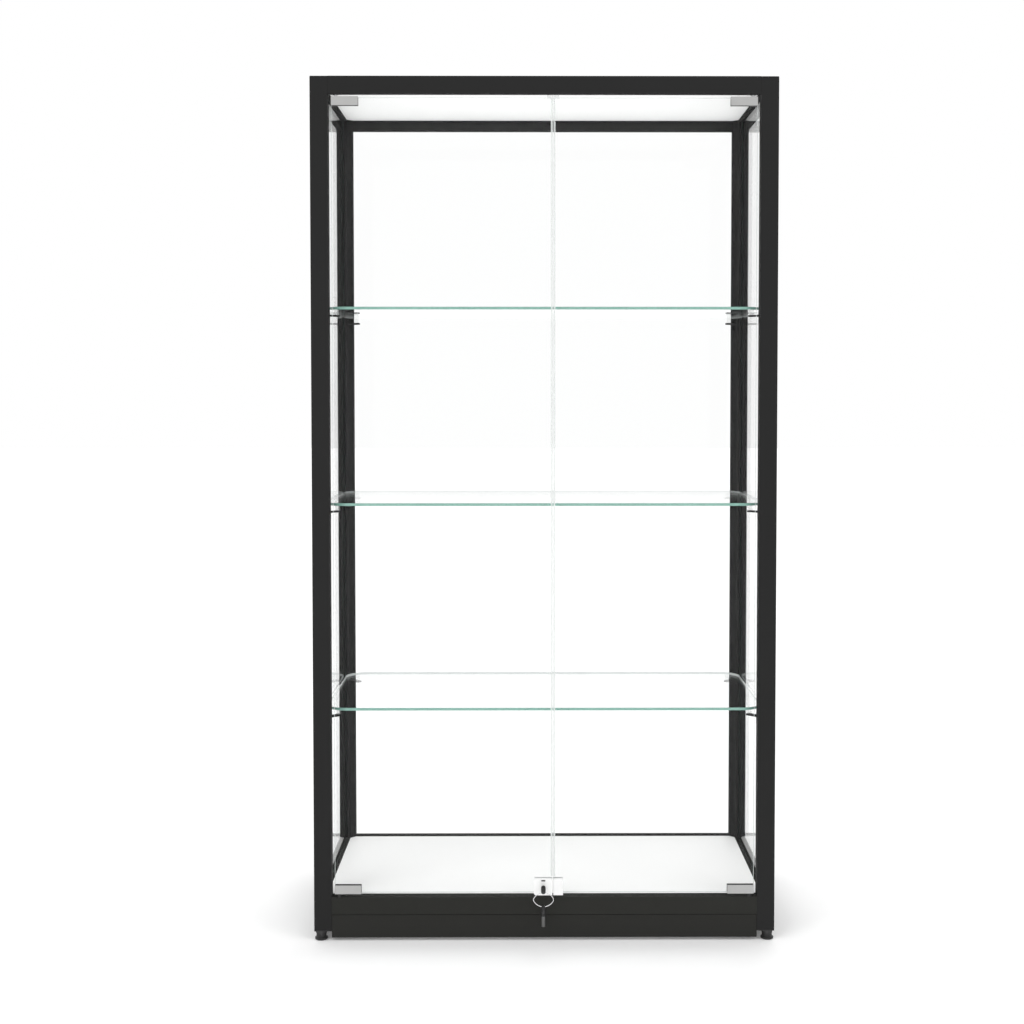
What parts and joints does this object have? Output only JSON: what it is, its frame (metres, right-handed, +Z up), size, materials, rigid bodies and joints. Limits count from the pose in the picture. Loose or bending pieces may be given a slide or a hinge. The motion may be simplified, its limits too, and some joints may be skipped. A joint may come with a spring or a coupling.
{
  "type": "display case",
  "caption": "Tall free-standing glass display case with an aluminium frame, glass shelves, a pair of pivoted glass doors with a key lock, kick boards and levelling feet.",
  "frame": {"origin": "on the floor, under the middle of the width and of the whole depth, the key that sticks out of the lock counted", "axes": "+X along the width to the right as seen from the doors, +Y from the doors to the back, +Z up"},
  "size_m": [1, 0.534, 1.864],
  "materials": {
    "frame_black": "satin black powder coat",
    "moulded_black": "moulded black plastic",
    "kick_black": "black faced board",
    "white_board": "white melamine faced board",
    "clear_glass": "clear float glass with green edges",
    "shelf_glass": "clear toughened glass with ground green edges",
    "black_rubber": "matt black",
    "clear_plastic": "clear, slightly milky",
    "satin_metal": "satin grey zinc casting",
    "lock_metal": "bright satin",
    "plain_steel": "turned and milled",
    "cast_zinc": "as cast",
    "key_plastic": "moulded black plastic",
    "ring_wire": "bright spring wire"
  },
  "bodies": {
    "frame": {"post_front_left": "frame_black", "post_front_right": "frame_black", "post_rear_left": "frame_black", "post_rear_right": "frame_black", "post_caps": "moulded_black", "top_rail_front": "frame_black", "top_rail_rear": "frame_black", "top_rail_left": "frame_black", "top_rail_right": "frame_black", "bottom_rail_front": "frame_black", "bottom_rail_rear": "frame_black", "bottom_rail_left": "frame_black", "bottom_rail_right": "frame_black", "corner_connectors": "cast_zinc", "kick_board_front": "kick_black", "kick_board_rear": "kick_black", "kick_board_left": "kick_black", "kick_board_right": "kick_black", "deck_panel": "white_board", "ceiling_panel": "white_board", "side_glass_left": "clear_glass", "side_glass_right": "clear_glass", "back_glass": "clear_glass", "glazing_gaskets": "black_rubber", "shelf_upper": "shelf_glass", "shelf_middle": "shelf_glass", "shelf_lower": "shelf_glass", "shelf_brackets": "frame_black", "bracket_pads": "clear_plastic", "pivot_bushes": "moulded_black", "door_stop": "clear_plastic", "foot_inserts": "moulded_black"},
    "left_door": {"door_glass_left": "clear_glass", "hinge_clamp_left_top": "satin_metal", "hinge_clamp_left_bottom": "satin_metal", "clamp_pads_left": "black_rubber", "grub_screws_left": "plain_steel", "pivot_pins_left": "plain_steel", "door_seal_left": "clear_plastic", "lock_body": "lock_metal"},
    "right_door": {"door_glass_right": "clear_glass", "hinge_clamp_right_top": "satin_metal", "hinge_clamp_right_bottom": "satin_metal", "clamp_pads_right": "black_rubber", "grub_screws_right": "plain_steel", "pivot_pins_right": "plain_steel", "door_seal_right": "clear_plastic", "strike_plate": "lock_metal"},
    "key": {"lock_plug": "plain_steel", "key_head": "key_plastic", "key_shank": "plain_steel"},
    "bolt": {"lock_bolt": "plain_steel"},
    "ring": {"key_ring": "ring_wire"},
    "spare_key": {"spare_key_head": "key_plastic", "spare_key_shank": "plain_steel"},
    "foot_1": {"foot_front_left": "moulded_black"},
    "foot_2": {"foot_front_right": "moulded_black"},
    "foot_3": {"foot_rear_left": "moulded_black"},
    "foot_4": {"foot_rear_right": "moulded_black"}
  },
  "joints": [
    {"name": "left_door_swing", "type": "hinge", "parent": "frame", "child": "left_door", "pos_m": [-0.445, -0.2267, 0.1026], "axis": [0, 0, -1], "range_deg": [0, 120]},
    {"name": "right_door_swing", "type": "hinge", "parent": "frame", "child": "right_door", "pos_m": [0.445, -0.2267, 0.1026], "axis": [0, 0, 1], "range_deg": [0, 120]},
    {"name": "key_turn", "type": "hinge", "parent": "left_door", "child": "key", "pos_m": [-0.0025, -0.242, 0.1196], "axis": [0, 1, 0], "range_deg": [0, 90]},
    {"name": "bolt_slide", "type": "slide", "parent": "left_door", "child": "bolt", "axis": [1, 0, 0], "range_m": [0, 0.0071]},
    {"name": "ring_swing", "type": "hinge", "parent": "key", "child": "ring", "pos_m": [-0.0025, -0.258, 0.114], "axis": [1, 0, 0], "range_deg": [-75, 8]},
    {"name": "spare_key_swing", "type": "hinge", "parent": "ring", "child": "spare_key", "pos_m": [-0.0025, -0.258, 0.082], "axis": [1, 0, 0], "range_deg": [-30, 8]},
    {"name": "front_left_foot_level", "type": "slide", "parent": "frame", "child": "foot_1", "axis": [0, 0, -1], "range_m": [0, 0.015]},
    {"name": "front_right_foot_level", "type": "slide", "parent": "frame", "child": "foot_2", "axis": [0, 0, -1], "range_m": [0, 0.015]},
    {"name": "rear_left_foot_level", "type": "slide", "parent": "frame", "child": "foot_3", "axis": [0, 0, -1], "range_m": [0, 0.015]},
    {"name": "rear_right_foot_level", "type": "slide", "parent": "frame", "child": "foot_4", "axis": [0, 0, -1], "range_m": [0, 0.015]}
  ],
  "couplings": [
    {"joint": "bolt_slide", "follows": "key_turn", "m_per_rad": 0.0045}
  ]
}
